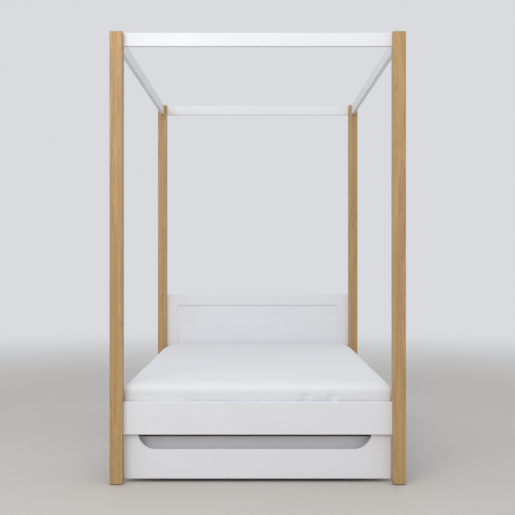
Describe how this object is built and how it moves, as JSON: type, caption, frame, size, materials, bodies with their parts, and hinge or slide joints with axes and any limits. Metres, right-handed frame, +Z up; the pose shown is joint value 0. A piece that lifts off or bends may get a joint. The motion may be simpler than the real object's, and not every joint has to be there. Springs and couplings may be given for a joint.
{
  "type": "four poster bed with drawer",
  "caption": "Square oak posts joined by thin white top beams over a white panelled bed with a mattress, and a wheeled drawer with a long hand cut-out at the foot end.",
  "frame": {"origin": "on the floor at the centre of the footprint of the four posts", "axes": "+Z up; +Y from the foot end, where the drawer pulls out, to the head end; +X to the right of someone who stands at the foot end and looks at the bed"},
  "size_m": [1.32, 2.09, 2.022],
  "materials": {
    "oak": "natural honey oak, satin clear lacquer, fine straight vertical grain",
    "white_lacquer": "cool white satin lacquer on wood",
    "pine": "planed untreated softwood",
    "beech": "fluted hardwood dowel, untreated",
    "mattress_ticking": "woven off-white ticking",
    "cotton_sheet": "plain white cotton, fine weave, softly creased",
    "webbing": "woven cotton tape",
    "castor_plastic": "moulded satin dark grey",
    "wheel_plastic": "moulded grey, slightly scuffed tread",
    "glide_plastic": "moulded dark brown",
    "zinc_steel": "bright zinc plated"
  },
  "bodies": {
    "bed_frame": {"corner_dowels": "beech", "corner_nuts": "zinc_steel", "corner_studs": "zinc_steel", "corner_washers": "zinc_steel", "fitted_sheet": "cotton_sheet", "foot_rail": "white_lacquer", "headboard_bottom_rail": "white_lacquer", "headboard_panel": "white_lacquer", "headboard_stile_left": "white_lacquer", "headboard_stile_right": "white_lacquer", "headboard_top_rail": "white_lacquer", "ledger_left": "pine", "ledger_right": "pine", "ledger_screws": "zinc_steel", "mattress": "mattress_ticking", "post_foot_left": "oak", "post_foot_right": "oak", "post_glides": "glide_plastic", "post_head_left": "oak", "post_head_right": "oak", "side_rail_left": "white_lacquer", "side_rail_right": "white_lacquer", "slat_01": "pine", "slat_02": "pine", "slat_03": "pine", "slat_04": "pine", "slat_05": "pine", "slat_06": "pine", "slat_07": "pine", "slat_08": "pine", "slat_09": "pine", "slat_10": "pine", "slat_11": "pine", "slat_12": "pine", "slat_13": "pine", "slat_14": "pine", "slat_straps": "webbing", "top_beam_foot": "white_lacquer", "top_beam_head": "white_lacquer", "top_beam_left": "white_lacquer", "top_beam_right": "white_lacquer"},
    "drawer": {"castor_axles": "zinc_steel", "castor_housing_back_left": "castor_plastic", "castor_housing_back_right": "castor_plastic", "castor_housing_front_left": "castor_plastic", "castor_housing_front_right": "castor_plastic", "castor_screws": "zinc_steel", "drawer_back": "white_lacquer", "drawer_battens": "pine", "drawer_bottom": "white_lacquer", "drawer_dowels": "beech", "drawer_front": "white_lacquer", "drawer_grip_board": "white_lacquer", "drawer_screws": "zinc_steel", "drawer_side_left": "white_lacquer", "drawer_side_right": "white_lacquer"},
    "wheel_back_left": {"castor_wheel_back_left": "wheel_plastic"},
    "wheel_back_right": {"castor_wheel_back_right": "wheel_plastic"},
    "wheel_front_left": {"castor_wheel_front_left": "wheel_plastic"},
    "wheel_front_right": {"castor_wheel_front_right": "wheel_plastic"}
  },
  "joints": [
    {"name": "drawer_slide", "type": "slide", "parent": "bed_frame", "child": "drawer", "axis": [0, -1, 0], "range_m": [0, 0.95]},
    {"name": "wheel_back_left_roll", "type": "hinge", "parent": "drawer", "child": "wheel_back_left", "pos_m": [-0.458, -0.078, 0.02], "axis": [1, 0, 0], "continuous": true},
    {"name": "wheel_back_right_roll", "type": "hinge", "parent": "drawer", "child": "wheel_back_right", "pos_m": [0.458, -0.078, 0.02], "axis": [1, 0, 0], "continuous": true},
    {"name": "wheel_front_left_roll", "type": "hinge", "parent": "drawer", "child": "wheel_front_left", "pos_m": [-0.458, -0.895, 0.02], "axis": [1, 0, 0], "continuous": true},
    {"name": "wheel_front_right_roll", "type": "hinge", "parent": "drawer", "child": "wheel_front_right", "pos_m": [0.458, -0.895, 0.02], "axis": [1, 0, 0], "continuous": true}
  ],
  "couplings": [
    {"joint": "wheel_back_left_roll", "follows": "drawer_slide", "rad_per_m": 50},
    {"joint": "wheel_back_right_roll", "follows": "drawer_slide", "rad_per_m": 50},
    {"joint": "wheel_front_left_roll", "follows": "drawer_slide", "rad_per_m": 50},
    {"joint": "wheel_front_right_roll", "follows": "drawer_slide", "rad_per_m": 50}
  ]
}
